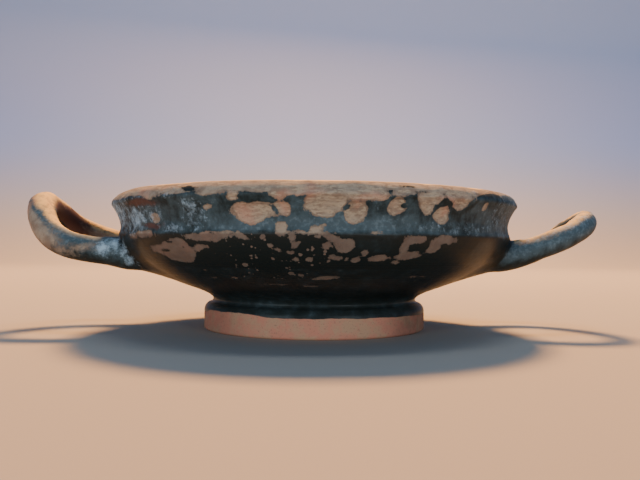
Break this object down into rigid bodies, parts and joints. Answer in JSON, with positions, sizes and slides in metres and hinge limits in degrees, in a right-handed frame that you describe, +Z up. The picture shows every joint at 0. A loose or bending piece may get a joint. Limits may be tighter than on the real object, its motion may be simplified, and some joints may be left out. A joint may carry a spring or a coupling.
{
  "type": "kylix cup",
  "caption": "Shallow two-handled stemless drinking cup with an offset concave lip and a ring foot, worn black glaze over fired clay.",
  "frame": {"origin": "centre of the foot's resting ring, on the surface that the cup stands on", "axes": "+Z up along the axis the bowl was turned on; +X to the right-hand handle and -X to the left-hand, more curled one, as the picture shows them; -Y towards the viewer"},
  "size_m": [0.215, 0.1498, 0.0506],
  "materials": {
    "black_glazed_clay": "glossy black slip glaze, worn and flaked to matte orange-brown clay along the lip, the rim, the handles and the foot's face"
  },
  "bodies": {
    "root": {"kylix_cup": "black_glazed_clay"}
  },
  "joints": []
}
